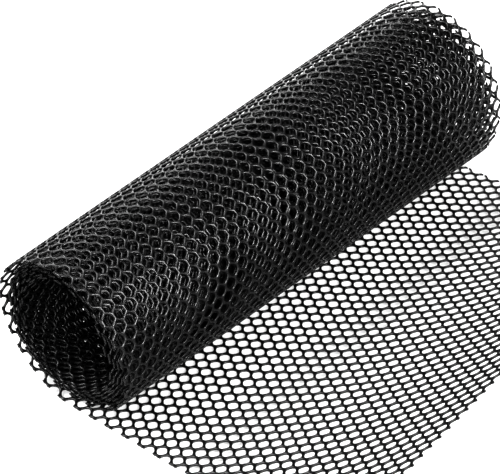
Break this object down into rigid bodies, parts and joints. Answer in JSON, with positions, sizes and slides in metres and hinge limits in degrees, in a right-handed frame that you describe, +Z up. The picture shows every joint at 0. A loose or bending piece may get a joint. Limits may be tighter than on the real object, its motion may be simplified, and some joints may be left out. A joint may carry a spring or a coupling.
{
  "type": "roll of plastic mesh",
  "caption": "Hollow roll of black plastic netting with hexagonal cells, its outer end unrolled over the floor and curling up towards the cut edge.",
  "frame": {"origin": "on the floor, on the flat spot under the middle of the roll", "axes": "+X along the roll from its near end to its far end, -Y towards the loose end, +Z up"},
  "size_m": [0.4, 0.3355, 0.1464],
  "materials": {
    "black_plastic": "satin"
  },
  "bodies": {
    "root": {"wound_roll": "black_plastic", "loose_end": "black_plastic"}
  },
  "joints": []
}
